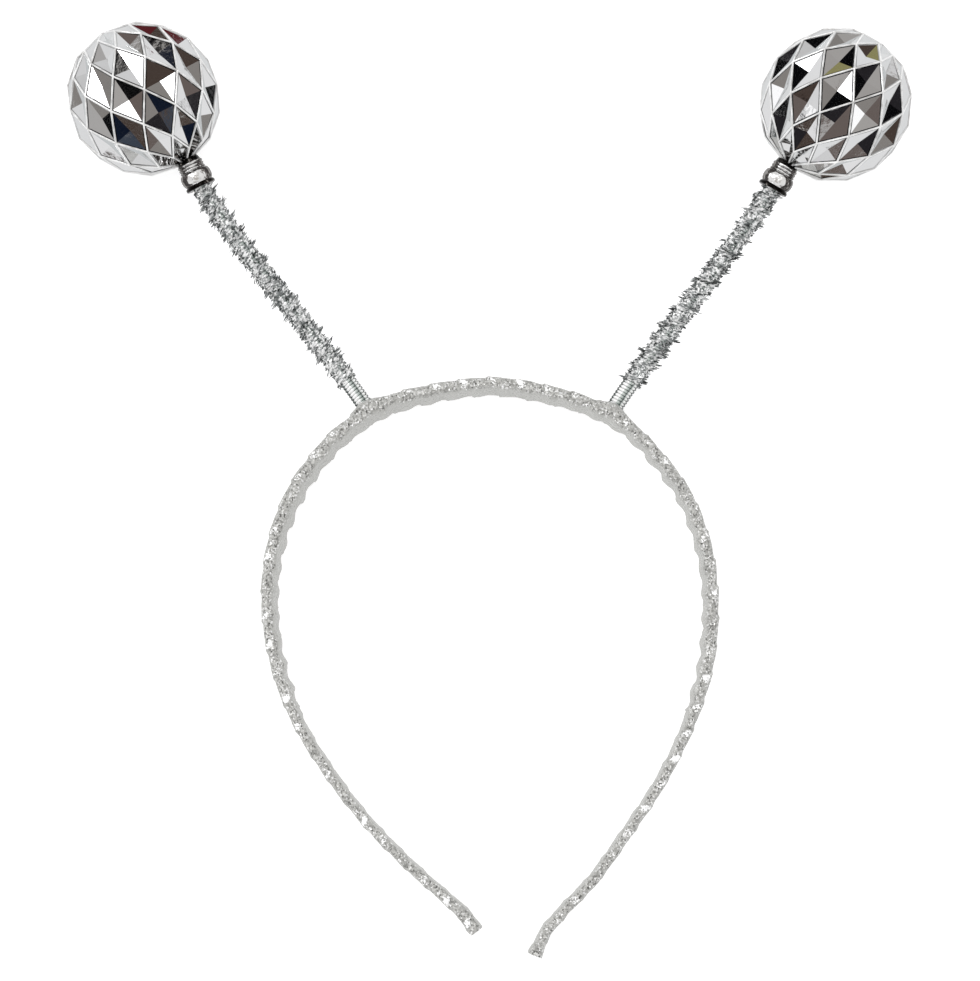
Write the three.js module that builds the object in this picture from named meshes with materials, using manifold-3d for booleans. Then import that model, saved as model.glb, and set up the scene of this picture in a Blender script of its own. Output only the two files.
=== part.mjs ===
// Head bopper: a thin headband wound in glitter ribbon, with two tinsel covered springs
// that each carry a faceted ball on a chrome cap. Millimetres, +Z up.
// The band lies flat on its lower edge, the springs lean up from it and the balls rest on the surface.
import * as THREE from "three";
import { mergeVertices } from "three/addons/utils/BufferGeometryUtils.js";
import Module from "manifold-3d";

const wasm = await Module();
wasm.setup();

// Gap between pieces that touch or fit into each other
const clearance = 0.3;

// Headband: half width and rise of its middle line, and how far each arm drops below the widest place
const bandHalfWidth = 58;
const crownRise = 58;
const leftArmDrop = 84;
const rightArmDrop = 90;
const bandThickness = 2.9;
const bandDepth = 8;
const bandCorner = 0.8;

// Wound ribbon: distance between turns, height of a turn's edge, and how far a turn slants through the band
const ribbonPitch = 7.4;
const turnRelief = 0.35;
const turnEdge = 0.6;
const turnSlant = 2.2;

// Comb teeth felt through the ribbon, on the inside of the band each side of the crown's middle
const toothPitch = 6.6;
const toothHeight = 0.8;
const toothedReach = 121;
const crownToothShare = 0.35;
const toothFadeEnd = 4 * toothPitch;

// Ribbon binding where a spring stands on the band, and the socket that the spring stands in
const footReach = 33;
const bindingLength = 12;
const bindingRise = 0.9;
const socketDepth = 1.6;

// Spring: close wound wire
const springRadius = 2.28;
const wireSize = 0.88;
const coilRelief = 0.24;
const exposedCoil = 7.8;

// Tinsel cord wound round the spring, and its foil strips
const tinselWall = 0.4;
const tinselRidge = 0.35;
const tinselPitch = 6.4;
const stripReach = 3.9;
const stripWidth = 1.0;
const stripThickness = 0.35;
const stripSpacing = 0.66;
const stripSpread = 0.15;
const stripLean = 0.8;
const stripTurn = 2.4;
const stripTurnSpread = 0.5;

// Cap between spring and ball
const lipRadius = 4.1;
const lipLength = 1.0;
const barrelRadius = 4.2;
const barrelLength = 3.8;
const lipStep = 0.4;
const neckRadius = 3.2;
const neckLength = 2.3;
const neckRing = 0.3;
const neckRings = 3;
const neckInsert = 1.0;
const neckBore = 1.8;
const springInsert = 4.3;
const capLength = lipLength + barrelLength + neckLength + neckInsert;

// Ball: rib lattice of diamonds with a sunk four-sided facet group in each
const ballRadius = 20;
const ballWall = 1.0;
const ribWidth = 0.65;
const facetSink = 1.0;
const diamondsRound = 12;
const diamondRows = 8;
const rowStep = 20.6;
const mouthRoom = 5.5;

// From the cap's lip to the ball's middle: the neck ends just inside the ball
const capToBall = capLength - neckInsert + ballRadius;

// Each stalk seen from above: flat distance from band to cap, and headings from +Y of the spring's foot, of
// the line from foot to cap, of the cap's own axis and of the line from the cap's lip to the ball's middle.
// Lengths in millimetres, angles in degrees.
const stalkLift = 12.5;
const stalks = [
  { side: "left", sign: -1, reach: 71.1, footHeading: 31, splay: 37.1, capHeading: 27, ballHeading: 33.5 },
  { side: "right", sign: 1, reach: 70.2, footHeading: 31, splay: 36.2, capHeading: 31, ballHeading: 37.1 },
];

// How each ball's lattice is turned: its axis, which is glued on a little askew, and the turn about it
const lattices = {
  left: { heading: 33.1, lift: 15.4, turn: 2.6 },
  right: { heading: 38.5, lift: 10.7, turn: 12.7 },
};

// How far the spring's curve follows its heading at the foot and at the cap, as shares of its reach
const footHandle = 0.15;
const capHandle = 0.16;

// Middle line of the band from the crown down each arm. across is a share of bandHalfWidth. along is a
// share of crownRise above the widest place and of the arm's drop below it. thick and deep are shares of
// bandThickness and bandDepth. lean is the section's outward lean in degrees.
const rowNames = ["across", "along", "thick", "deep", "lean"];
const crownRow = [0, 1, 1, 1, 7];
const leftRows = [
  [0.134, 0.989, 1, 1, 7],
  [0.267, 0.967, 1, 1, 7],
  [0.4, 0.935, 1, 1, 8],
  [0.524, 0.886, 1, 1, 9],
  [0.626, 0.817, 1, 1, 9],
  [0.728, 0.728, 1, 1, 8],
  [0.884, 0.514, 1, 1, 7],
  [0.975, 0.264, 0.97, 1, 7],
  [0.998, 0.0, 0.95, 0.95, 6],
  [0.957, -0.188, 0.92, 0.88, 4],
  [0.862, -0.361, 0.84, 0.81, 2],
  [0.717, -0.521, 0.8, 0.78, 2],
  [0.548, -0.669, 0.8, 0.75, 1],
  [0.355, -0.803, 0.8, 0.72, 1],
  [0.25, -0.867, 0.8, 0.7, 0],
  [0.147, -0.928, 0.95, 0.69, 0],
  [0.1, -0.963, 1.05, 0.69, 0],
  [0.06, -1.0, 1.15, 0.69, 0],
];
const rightRows = [
  [0.133, 0.989, 1, 1, 7],
  [0.266, 0.962, 1, 1, 6],
  [0.397, 0.928, 0.97, 1, 5],
  [0.519, 0.877, 0.93, 1, 4],
  [0.628, 0.808, 0.88, 1, 3],
  [0.724, 0.715, 0.86, 1, 2],
  [0.884, 0.5, 0.9, 1, 2],
  [0.974, 0.25, 0.93, 1, 3],
  [1.0, 0.0, 0.95, 0.95, 3],
  [0.972, -0.186, 0.92, 0.88, 3],
  [0.89, -0.349, 0.84, 0.81, 2],
  [0.766, -0.507, 0.8, 0.78, 1],
  [0.614, -0.652, 0.8, 0.75, 0],
  [0.452, -0.793, 0.8, 0.72, 0],
  [0.353, -0.858, 0.8, 0.7, 0],
  [0.26, -0.924, 0.84, 0.69, 0],
  [0.222, -0.965, 0.9, 0.69, 0],
  [0.2, -1.0, 1.2, 0.69, 0],
];

// How finely round pieces are faceted
const springSides = 10;
const sleeveSides = 8;
const capSides = 16;

const up = new THREE.Vector3(0, 0, 1);

// Same shuffled numbers between 0 and 1 on every run
function makeRandom(seed) {
  let state = seed;
  return () => {
    state = (state * 1664525 + 1013904223) % 4294967296;
    return state / 4294967296;
  };
}

// Closed geometry over a list of rings of points. A loop joins the last ring to the first, as on a tube
// with a bore. Otherwise a flat fan closes each end.
function skinRings(rings, loop) {
  const sides = rings[0].length;
  const points = rings.flat();
  const faces = [];
  const joins = loop ? rings.length : rings.length - 1;
  for (let r = 0; r < joins; r += 1) {
    const here = r * sides;
    const next = ((r + 1) % rings.length) * sides;
    for (let k = 0; k < sides; k += 1) {
      const k2 = (k + 1) % sides;
      faces.push(here + k, here + k2, next + k2, here + k, next + k2, next + k);
    }
  }
  if (!loop) {
    closeEnd(points, faces, 0, sides, true);
    closeEnd(points, faces, (rings.length - 1) * sides, sides, false);
  }
  return meshGeometry(points, faces);
}

// Fan of faces from a ring's middle, turned outward
function closeEnd(points, faces, start, sides, reversed) {
  const middle = new THREE.Vector3();
  for (let k = 0; k < sides; k += 1) {
    middle.addScaledVector(points[start + k], 1 / sides);
  }
  points.push(middle);
  const centre = points.length - 1;
  for (let k = 0; k < sides; k += 1) {
    const a = start + k;
    const b = start + ((k + 1) % sides);
    faces.push(...(reversed ? [centre, b, a] : [centre, a, b]));
  }
}

function meshGeometry(points, faces) {
  const geometry = new THREE.BufferGeometry();
  geometry.setAttribute("position", new THREE.Float32BufferAttribute(points.flatMap((p) => p.toArray()), 3));
  geometry.setIndex(faces);
  return geometry;
}

function toSolid(geometry) {
  const bare = geometry.clone();
  bare.deleteAttribute("normal");
  bare.deleteAttribute("uv");
  const merged = mergeVertices(bare, 1e-4);
  return new wasm.Manifold(new wasm.Mesh({
    numProp: 3,
    vertProperties: new Float32Array(merged.attributes.position.array),
    triVerts: new Uint32Array(merged.index.array),
  }));
}

function toGeometry(solid) {
  const mesh = solid.getMesh();
  const geometry = new THREE.BufferGeometry();
  geometry.setAttribute("position", new THREE.BufferAttribute(new Float32Array(mesh.vertProperties), 3));
  geometry.setIndex(new THREE.BufferAttribute(new Uint32Array(mesh.triVerts), 1));
  return geometry;
}

// A round bar between two points, for sockets and openings
function barBetween(from, to, radius, sides) {
  const bar = new THREE.CylinderGeometry(radius, radius, from.distanceTo(to), sides);
  const along = to.clone().sub(from).normalize();
  const turn = new THREE.Quaternion().setFromUnitVectors(new THREE.Vector3(0, 1, 0), along);
  bar.applyQuaternion(turn);
  const middle = from.clone().lerp(to, 0.5);
  bar.translate(middle.x, middle.y, middle.z);
  return bar;
}

// One row of the band's table as real sizes
function bandRow(row, sign, armDrop) {
  const named = Object.fromEntries(rowNames.map((name, i) => [name, row[i]]));
  return {
    x: sign * named.across * bandHalfWidth,
    y: named.along * (named.along > 0 ? crownRise : armDrop),
    thickness: named.thick * bandThickness,
    depth: named.deep * bandDepth,
    lean: THREE.MathUtils.degToRad(named.lean),
  };
}

const bandRows = [
  ...leftRows.map((row) => bandRow(row, -1, leftArmDrop)).reverse(),
  bandRow(crownRow, 1, rightArmDrop),
  ...rightRows.map((row) => bandRow(row, 1, rightArmDrop)),
];
const bandPath = new THREE.CatmullRomCurve3(bandRows.map((row) => new THREE.Vector3(row.x, row.y, 0)));
bandPath.arcLengthDivisions = 2000;
const bandLength = bandPath.getLength();

// Arc distance from the left end to the crown's middle
function findCrownArc() {
  const crownShare = leftRows.length / (bandRows.length - 1);
  const lengths = bandPath.getLengths();
  return lengths[Math.round(crownShare * bandPath.arcLengthDivisions)];
}

const crownArc = findCrownArc();

// Place, direction and section of the band at an arc distance from its left end
function bandAt(arc) {
  const u = THREE.MathUtils.clamp(arc / bandLength, 0, 1);
  const t = bandPath.getUtoTmapping(u) * (bandRows.length - 1);
  const first = Math.min(Math.floor(t), bandRows.length - 2);
  const mix = t - first;
  const tangent = bandPath.getTangentAt(u);
  const between = (name) => THREE.MathUtils.lerp(bandRows[first][name], bandRows[first + 1][name], mix);
  return {
    point: bandPath.getPointAt(u),
    outward: new THREE.Vector3(-tangent.y, tangent.x, 0),
    thickness: between("thickness"),
    depth: between("depth"),
    lean: between("lean"),
  };
}

// Height of the ribbon above its lowest at an arc distance: a quick step up, then a slow fall
function ribbonHeight(arc) {
  const into = THREE.MathUtils.euclideanModulo(arc, ribbonPitch);
  if (into < turnEdge) {
    return turnRelief * into / turnEdge;
  }
  return turnRelief * (ribbonPitch - into) / (ribbonPitch - turnEdge);
}

// Height of the comb teeth: round lobes that fade out at the crown's middle and stop at the toothed reach
function toothLobe(arc) {
  const fromCrown = Math.abs(arc - crownArc);
  if (fromCrown > toothedReach) {
    return 0;
  }
  const fade = THREE.MathUtils.smoothstep(fromCrown, toothPitch / 2, toothFadeEnd);
  const wave = 0.5 - 0.5 * Math.cos(2 * Math.PI * fromCrown / toothPitch);
  return toothHeight * THREE.MathUtils.lerp(crownToothShare, 1, fade) * wave;
}

// Swell of the ribbon that binds a spring's foot
function bindingSwell(arc) {
  const fromFoot = Math.abs(Math.abs(arc - crownArc) - footReach);
  const share = Math.min(fromFoot / (bindingLength / 2), 1);
  return bindingRise * Math.cos(share * Math.PI / 2) ** 2;
}

// Eight-sided section with cut corners: outward distance, height, and shares of tooth and swell
function bandSection(arc) {
  const at = bandAt(arc);
  const skin = ribbonHeight(arc);
  const lobe = toothLobe(arc);
  const swell = bindingSwell(arc);
  const outer = at.thickness / 2 + skin;
  const high = at.depth / 2 + skin;
  const inner = -outer - lobe;
  return [
    [outer + swell, -high + bandCorner],
    [outer + swell, high - bandCorner],
    [outer - bandCorner + swell / 2, high],
    [inner + bandCorner, high],
    [inner, high - bandCorner],
    [inner, -high + bandCorner],
    [inner + bandCorner, -high],
    [outer - bandCorner + swell / 2, -high],
  ];
}

// Places along the band that catch each turn's edge and each tooth's crest and root
function bandStations() {
  const marks = [0, bandLength];
  for (let arc = 0; arc < bandLength; arc += ribbonPitch) {
    marks.push(arc, arc + turnEdge);
  }
  for (let half = 0; half * toothPitch / 2 < toothedReach; half += 1) {
    marks.push(crownArc - half * toothPitch / 2, crownArc + half * toothPitch / 2);
  }
  marks.sort((a, b) => a - b);
  const inside = marks.filter((arc) => arc >= 0 && arc <= bandLength);
  const last = inside.length - 1;
  return inside.filter((arc, i) => i === 0 || i === last || arc - inside[i - 1] > turnEdge / 2);
}

// One ring of the band. Its outer side is slid along the band and its inner side back, as a turn slants.
function bandRing(arc) {
  const section = bandSection(arc);
  const slideRoom = Math.min(arc, bandLength - arc, turnSlant) / turnSlant;
  const ring = section.map(([out, high]) => {
    const slide = turnSlant / 2 * slideRoom * THREE.MathUtils.clamp(out / (bandThickness / 2), -1, 1);
    const at = bandAt(arc + slide);
    const leanOut = out * Math.cos(at.lean) + high * Math.sin(at.lean);
    const leanUp = high * Math.cos(at.lean) - out * Math.sin(at.lean);
    return at.point.addScaledVector(at.outward, leanOut).addScaledVector(up, leanUp);
  });
  const lowest = Math.min(...ring.map((point) => point.z));
  const lift = turnRelief - ribbonHeight(arc) - lowest;
  ring.forEach((point) => point.addScaledVector(up, lift));
  return ring;
}

function buildHeadband(frames) {
  const rings = bandStations().map(bandRing);
  let solid = toSolid(skinRings(rings, false));
  for (const frame of frames) {
    const from = frame.foot.clone().addScaledVector(frame.start, -socketDepth);
    const to = frame.foot.clone().addScaledVector(frame.start, bindingRise + springRadius);
    solid = solid.subtract(toSolid(barBetween(from, to, springRadius + clearance, springSides + 2)));
  }
  return toGeometry(solid);
}

// Level direction at an angle in degrees from +Y, towards the stalk's own side
function headingOf(stalk, degrees) {
  const angle = THREE.MathUtils.degToRad(degrees) * stalk.sign;
  return new THREE.Vector3(Math.sin(angle), Math.cos(angle), 0);
}

// Same direction with its front raised by an angle in degrees
function lifted(level, degrees) {
  const lift = THREE.MathUtils.degToRad(degrees);
  return level.clone().multiplyScalar(Math.cos(lift)).addScaledVector(up, Math.sin(lift));
}

// Foot, cap place, ball place and middle line of one stalk
function stalkFrame(stalk) {
  const at = bandAt(crownArc + stalk.sign * footReach);
  const start = headingOf(stalk, stalk.footHeading);
  const chord = headingOf(stalk, stalk.splay);
  const axis = lifted(headingOf(stalk, stalk.capHeading), stalkLift);
  const toBall = lifted(headingOf(stalk, stalk.ballHeading), stalkLift);
  const foot = at.point.clone().addScaledVector(at.outward, at.thickness / 2 + turnRelief + bindingRise);
  foot.z = bandDepth / 2 + turnRelief;
  const lip = foot.clone().addScaledVector(chord, stalk.reach);
  lip.z = ballRadius - capToBall * toBall.z;
  const ball = lip.clone().addScaledVector(toBall, capToBall);
  const socketFloor = foot.clone().addScaledVector(start, clearance - socketDepth);
  const path = new THREE.CurvePath();
  path.add(new THREE.LineCurve3(socketFloor, foot));
  path.add(new THREE.CubicBezierCurve3(
    foot,
    foot.clone().addScaledVector(start, stalk.reach * footHandle),
    lip.clone().addScaledVector(axis, -stalk.reach * capHandle),
    lip,
  ));
  path.add(new THREE.LineCurve3(lip, lip.clone().addScaledVector(axis, springInsert)));
  const lattice = lattices[stalk.side];
  const ballAxis = lifted(headingOf(stalk, lattice.heading), lattice.lift);
  const capTurn = axisTurn(axis, 0);
  const ballTurn = axisTurn(ballAxis, lattice.turn);
  return { foot, lip, ball, start, axis, path, capTurn, ballTurn };
}

// Middle, side and upward directions of a stalk at a distance from the spring's lower end
function stalkAt(frame, distance) {
  const u = THREE.MathUtils.clamp(distance / frame.path.getLength(), 0, 1);
  const tangent = frame.path.getTangentAt(u);
  const side = new THREE.Vector3().crossVectors(up, tangent).normalize();
  const above = new THREE.Vector3().crossVectors(tangent, side);
  return { middle: frame.path.getPointAt(u), tangent, side, above };
}

// Ring round a stalk with a radius that may change round it
function stalkRing(frame, distance, sides, radiusAt) {
  const at = stalkAt(frame, distance);
  const ring = [];
  for (let k = 0; k < sides; k += 1) {
    const angle = 2 * Math.PI * k / sides;
    const radius = radiusAt(angle);
    ring.push(at.middle.clone()
      .addScaledVector(at.side, radius * Math.cos(angle))
      .addScaledVector(at.above, radius * Math.sin(angle)));
  }
  return ring;
}

// Spring as a tube: coils show on the stretch between the band and the tinsel
function buildSpring(frame) {
  const length = frame.path.getLength();
  const coilsEnd = socketDepth + exposedCoil;
  const outside = [];
  for (let coil = 0; coil * wireSize < coilsEnd; coil += 1) {
    outside.push([coil * wireSize, springRadius - coilRelief]);
    outside.push([(coil + 0.5) * wireSize, springRadius]);
  }
  const plainStart = outside.at(-1)[0];
  const plainSteps = 9;
  for (let step = 1; step <= plainSteps; step += 1) {
    outside.push([THREE.MathUtils.lerp(plainStart, length, step / plainSteps), springRadius]);
  }
  const inside = [];
  for (let step = plainSteps; step >= 0; step -= 1) {
    inside.push([length * step / plainSteps, springRadius - wireSize]);
  }
  const rings = [...outside, ...inside].map(([distance, radius]) =>
    stalkRing(frame, distance, springSides, () => radius));
  return skinRings(rings, true);
}

// Tinsel cord as a sleeve with a winding ridge, and foil strips that stand out of it
function buildTinsel(frame, seed) {
  const start = socketDepth - clearance + exposedCoil;
  const end = frame.path.getLength() - springInsert - clearance;
  const bore = springRadius + clearance;
  const step = tinselPitch / 2;
  const steps = Math.round((end - start) / step);
  const ridgeAt = (distance, angle) =>
    tinselRidge * (0.5 + 0.5 * Math.cos(2 * Math.PI * distance / tinselPitch - angle));
  const distances = [];
  for (let i = 0; i <= steps; i += 1) {
    distances.push(THREE.MathUtils.lerp(start, end, i / steps));
  }
  const outside = distances.map((distance) => stalkRing(
    frame, distance, sleeveSides, (angle) => bore + tinselWall + ridgeAt(distance, angle)));
  const inside = distances.filter((_, i) => i % 2 === 0 || i === steps).reverse().map((distance) =>
    stalkRing(frame, distance, sleeveSides, () => bore));
  const sleeve = toSolid(skinRings([...outside, ...inside], true));
  const strips = tinselStrips(frame, start, end, seed).map(toSolid);
  return toGeometry(wasm.Manifold.union([sleeve, ...strips]));
}

// Foil strips along the ridge of the winding, most standing straight out and some leaning
function tinselStrips(frame, start, end, seed) {
  const random = makeRandom(seed);
  const root = springRadius + clearance + tinselWall / 2;
  const count = Math.floor((end - start) / stripSpacing);
  const strips = [];
  for (let i = 0; i < count; i += 1) {
    const distance = start + stripWidth + (end - start - 2 * stripWidth) * i / count;
    const around = i * stripTurn + random() * stripTurnSpread;
    const at = stalkAt(frame, distance);
    const outward = at.side.clone().multiplyScalar(Math.cos(around));
    outward.addScaledVector(at.above, Math.sin(around));
    const reach = stripReach * (1 + stripSpread * (2 * random() - 1));
    const lean = stripLean * (2 * random() - 1);
    const lowRoom = at.middle.z - clearance;
    const tipReach = outward.z < 0 ? Math.min(reach, lowRoom / -outward.z) : reach;
    const across = new THREE.Vector3().crossVectors(outward, at.tangent);
    strips.push(foilStrip(at, outward, across, root, tipReach, lean));
  }
  return strips;
}

// One strip: a three-sided blade whose wide root is sunk in the sleeve
function foilStrip(at, outward, across, root, reach, lean) {
  const base = at.middle.clone().addScaledVector(outward, root);
  const tip = at.middle.clone().addScaledVector(outward, reach).addScaledVector(at.tangent, lean);
  const points = [
    base.clone().addScaledVector(at.tangent, -stripWidth / 2),
    base.clone().addScaledVector(at.tangent, stripWidth / 2),
    base.clone().addScaledVector(across, stripThickness),
    tip,
  ];
  return meshGeometry(points, [0, 2, 1, 0, 1, 3, 1, 2, 3, 2, 0, 3]);
}

// Cap turned from one profile: lip, barrel, ringed neck and the bore that the spring goes into
function buildCap() {
  const bore = springRadius + clearance;
  const shoulder = springInsert + clearance;
  const neckStart = lipLength + barrelLength;
  const ringStep = neckLength / (2 * neckRings);
  const profile = [
    [bore, 0],
    [lipRadius, 0],
    [lipRadius, lipLength],
    [lipRadius - lipStep, lipLength],
    [barrelRadius, lipLength + barrelLength * 0.3],
    [barrelRadius, lipLength + barrelLength * 0.7],
    [neckRadius + neckRing, neckStart],
  ];
  for (let i = 0; i < 2 * neckRings; i += 1) {
    profile.push([neckRadius + (i % 2) * neckRing, neckStart + (i + 0.5) * ringStep]);
  }
  profile.push([neckRadius - clearance, capLength]);
  profile.push([neckBore, capLength]);
  profile.push([neckBore, shoulder]);
  profile.push([bore, shoulder]);
  profile.push([bore, 0]);
  const cap = new THREE.LatheGeometry(profile.map(([r, z]) => new THREE.Vector2(r, z)), capSides);
  cap.rotateX(Math.PI / 2);
  return toGeometry(toSolid(cap));
}

// Corner of the diamond lattice. Rows run from the pole at the cap to the far pole, rowStep degrees apart,
// and the first and last row are the poles themselves, which lie a little further off.
function latticeCorner(row, column) {
  const fromEquator = row - diamondRows / 2;
  const atPole = Math.abs(fromEquator) === diamondRows / 2;
  const latitude = THREE.MathUtils.degToRad(atPole ? Math.sign(fromEquator) * 90 : fromEquator * rowStep);
  const longitude = 2 * Math.PI * (column + (row % 2) / 2) / diamondsRound;
  return new THREE.Vector3(
    Math.cos(latitude) * Math.cos(longitude),
    Math.cos(latitude) * Math.sin(longitude),
    Math.sin(latitude),
  ).multiplyScalar(ballRadius);
}

// The four corners of one diamond, anticlockwise seen from outside, starting nearest the cap
function diamondCorners(row, column) {
  const shift = row % 2;
  return [
    latticeCorner(row - 1, column + shift),
    latticeCorner(row, column + 1),
    latticeCorner(row + 1, column + shift),
    latticeCorner(row, column),
  ];
}

function eachDiamond(visit) {
  for (let row = 1; row < diamondRows; row += 1) {
    for (let column = 0; column < diamondsRound; column += 1) {
      visit(diamondCorners(row, column));
    }
  }
}

// Corner moved into its diamond by half a rib's width from both of its edges
function insetCorner(corners, i) {
  const here = corners[i];
  const before = corners[(i + 3) % 4].clone().sub(here).normalize();
  const after = corners[(i + 1) % 4].clone().sub(here).normalize();
  const slide = ribWidth / 2 / Math.sin(before.angleTo(after));
  return here.clone().addScaledVector(before, slide).addScaledVector(after, slide);
}

// Outer skin: ribs along the lattice and four facets that fall to the middle of each diamond
function ballSkin() {
  const points = [];
  const faces = [];
  eachDiamond((corners) => {
    const start = points.length;
    const inset = corners.map((_, i) => insetCorner(corners, i));
    const middle = new THREE.Vector3();
    corners.forEach((corner) => middle.addScaledVector(corner, 0.25));
    middle.setLength(middle.length() - facetSink);
    points.push(...corners, ...inset, middle);
    const deepest = points.length - 1;
    for (let i = 0; i < 4; i += 1) {
      const j = (i + 1) % 4;
      faces.push(start + i, start + j, start + 4 + j, start + i, start + 4 + j, start + 4 + i);
      faces.push(start + 4 + i, start + 4 + j, deepest);
    }
  });
  return mergeVertices(meshGeometry(points, faces), 1e-3);
}

// Inner skin: a plain hollow that leaves the wall behind the deepest facets. The middle of a diamond lies
// closer to the ball's middle than its corners do.
function ballHollow() {
  const widest = diamondCorners(diamondRows / 2, 0);
  const flatMiddle = widest[1].clone().add(widest[3]).multiplyScalar(0.5).length();
  const shrink = (flatMiddle - facetSink - ballWall) / ballRadius;
  const points = [];
  const faces = [];
  eachDiamond((corners) => {
    const start = points.length;
    points.push(...corners.map((corner) => corner.clone().multiplyScalar(shrink)));
    faces.push(start, start + 1, start + 3, start + 1, start + 2, start + 3);
  });
  return mergeVertices(meshGeometry(points, faces), 1e-3);
}

// Hollow ball with a mouth along the cap's axis, which is turned back into the ball's own directions
function buildBall(frame) {
  const back = frame.ballTurn.clone().invert();
  const ownPlace = (along) =>
    frame.lip.clone().addScaledVector(frame.axis, along).sub(frame.ball).applyQuaternion(back);
  const mouthFrom = ownPlace(lipLength + barrelLength);
  const mouthTo = ownPlace(capLength + mouthRoom);
  const mouth = barBetween(mouthFrom, mouthTo, neckRadius + neckRing + clearance, capSides);
  const shell = toSolid(ballSkin()).subtract(toSolid(ballHollow()));
  return toGeometry(shell.subtract(toSolid(mouth)));
}

// Turn that stands a piece's own +Z along an axis, with its +X facing up, after a spin about its +Z
function axisTurn(axis, spin) {
  const side = new THREE.Vector3().crossVectors(axis, up).normalize();
  const above = new THREE.Vector3().crossVectors(side, axis);
  const sideward = new THREE.Vector3().crossVectors(axis, above);
  const basis = new THREE.Matrix4().makeBasis(above, sideward, axis);
  const turn = new THREE.Quaternion().setFromRotationMatrix(basis);
  const own = new THREE.Quaternion().setFromAxisAngle(up, THREE.MathUtils.degToRad(spin));
  return turn.multiply(own);
}

const finishes = {
  ribbon: new THREE.MeshStandardMaterial({ color: 0xc4c3bf, roughness: 0.45, metalness: 0.5 }),
  spring: new THREE.MeshStandardMaterial({ color: 0x8d9492, roughness: 0.3, metalness: 1 }),
  tinsel: new THREE.MeshStandardMaterial({ color: 0xa9b0b0, roughness: 0.25, metalness: 0.9 }),
  cap: new THREE.MeshStandardMaterial({ color: 0xb9b4ae, roughness: 0.12, metalness: 1 }),
  ball: new THREE.MeshStandardMaterial({ color: 0xd8d9da, roughness: 0.06, metalness: 1 }),
};

function namedMesh(name, geometry, material) {
  const mesh = new THREE.Mesh(geometry, material);
  mesh.name = name;
  return mesh;
}

function buildStalk(stalk, frame, seed) {
  const group = new THREE.Group();
  const cap = namedMesh(`cap_${stalk.side}`, buildCap(), finishes.cap);
  cap.position.copy(frame.lip);
  cap.quaternion.copy(frame.capTurn);
  const ball = namedMesh(`ball_${stalk.side}`, buildBall(frame), finishes.ball);
  ball.position.copy(frame.ball);
  ball.quaternion.copy(frame.ballTurn);
  group.add(namedMesh(`spring_${stalk.side}`, buildSpring(frame), finishes.spring));
  group.add(namedMesh(`tinsel_${stalk.side}`, buildTinsel(frame, seed), finishes.tinsel));
  group.add(cap, ball);
  return group;
}

const frames = stalks.map(stalkFrame);
const bopper = new THREE.Group();
bopper.add(namedMesh("headband", buildHeadband(frames), finishes.ribbon));
stalks.forEach((stalk, i) => bopper.add(buildStalk(stalk, frames[i], 11 + i)));

// The origin is under the middle of the whole piece, on the surface that it lies on
bopper.updateMatrixWorld(true);
const box = new THREE.Box3().setFromObject(bopper, true);
const centre = box.getCenter(new THREE.Vector3());
bopper.position.set(-centre.x, -centre.y, -box.min.z);

export default bopper;
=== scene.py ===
"""Head bopper: fine pieces, materials, studio and camera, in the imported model's own frame.

Sizes are in millimetres until a mesh is made, which is in metres.
"""
import bisect
import math
import random
from collections import namedtuple

import bpy
from mathutils import Matrix, Vector, noise


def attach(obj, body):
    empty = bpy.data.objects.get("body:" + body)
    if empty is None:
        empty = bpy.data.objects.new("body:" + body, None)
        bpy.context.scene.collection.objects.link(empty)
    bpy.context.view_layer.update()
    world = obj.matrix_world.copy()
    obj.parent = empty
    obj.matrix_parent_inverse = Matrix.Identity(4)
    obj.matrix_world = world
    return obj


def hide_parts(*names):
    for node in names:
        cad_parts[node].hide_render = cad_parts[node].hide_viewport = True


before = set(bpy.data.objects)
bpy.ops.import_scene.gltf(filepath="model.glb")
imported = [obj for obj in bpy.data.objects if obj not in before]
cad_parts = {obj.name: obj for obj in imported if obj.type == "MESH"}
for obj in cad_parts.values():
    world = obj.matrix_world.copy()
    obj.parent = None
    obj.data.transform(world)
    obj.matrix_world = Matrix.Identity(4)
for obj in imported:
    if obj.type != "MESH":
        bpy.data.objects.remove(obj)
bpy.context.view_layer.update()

MM = 0.001
UP = Vector((0, 0, 1))

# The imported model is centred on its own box: this is how far its parts are moved for that
PACKED_SHIFT = Vector((0.0115, -30.3709, 0))

# Camera of the photograph: nearly straight above, from the tips' side
CAMERA_TARGET = Vector((0.012, -0.372, 5))
CAMERA_ELEVATION = 83
CAMERA_DISTANCE = 500
CAMERA_ANGLE = 28.98

# Headband, as the CAD has it
BAND_HALF_WIDTH = 58
CROWN_RISE = 58
LEFT_ARM_DROP = 84
RIGHT_ARM_DROP = 90
BAND_THICKNESS = 2.9
BAND_DEPTH = 8
RIBBON_PITCH = 7.4
TURN_RELIEF = 0.35
TOOTH_PITCH = 6.6
TOOTH_HEIGHT = 0.8
TOOTHED_REACH = 121
CROWN_TOOTH_SHARE = 0.35
FOOT_REACH = 33
BINDING_LENGTH = 12
BINDING_RISE = 0.9
SOCKET_DEPTH = 1.6

# Fine ribbon: section corner, selvedge step, wrinkles, and the fillet of ribbon round a spring's foot
SECTION_CORNER = 1.1
SELVEDGE = 0.3
SELVEDGE_WANDER = 0.5
SELVEDGE_WANDER_LENGTH = 9
HEM_SHARE = 0.25
HEM_WIDTH = 0.45
TOOTH_UNEVEN = 0.25
TOOTH_FADE_TEETH = 3.5
WRINKLE = 0.14
FILLET_RISE = 1.0
FILLET_REACH = 0.9
STATION_STEP = 0.36
SECTION_POINTS = 48

# Creases of the ribbon: their size along the band and round it, their share of its wrinkles, and a seed
Crease = namedtuple("Crease", "along round share seed")
CREASES = (Crease(1.7, 4.5, 0.65, 1.3), Crease(0.7, 1.6, 0.35, 7.7))

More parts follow.
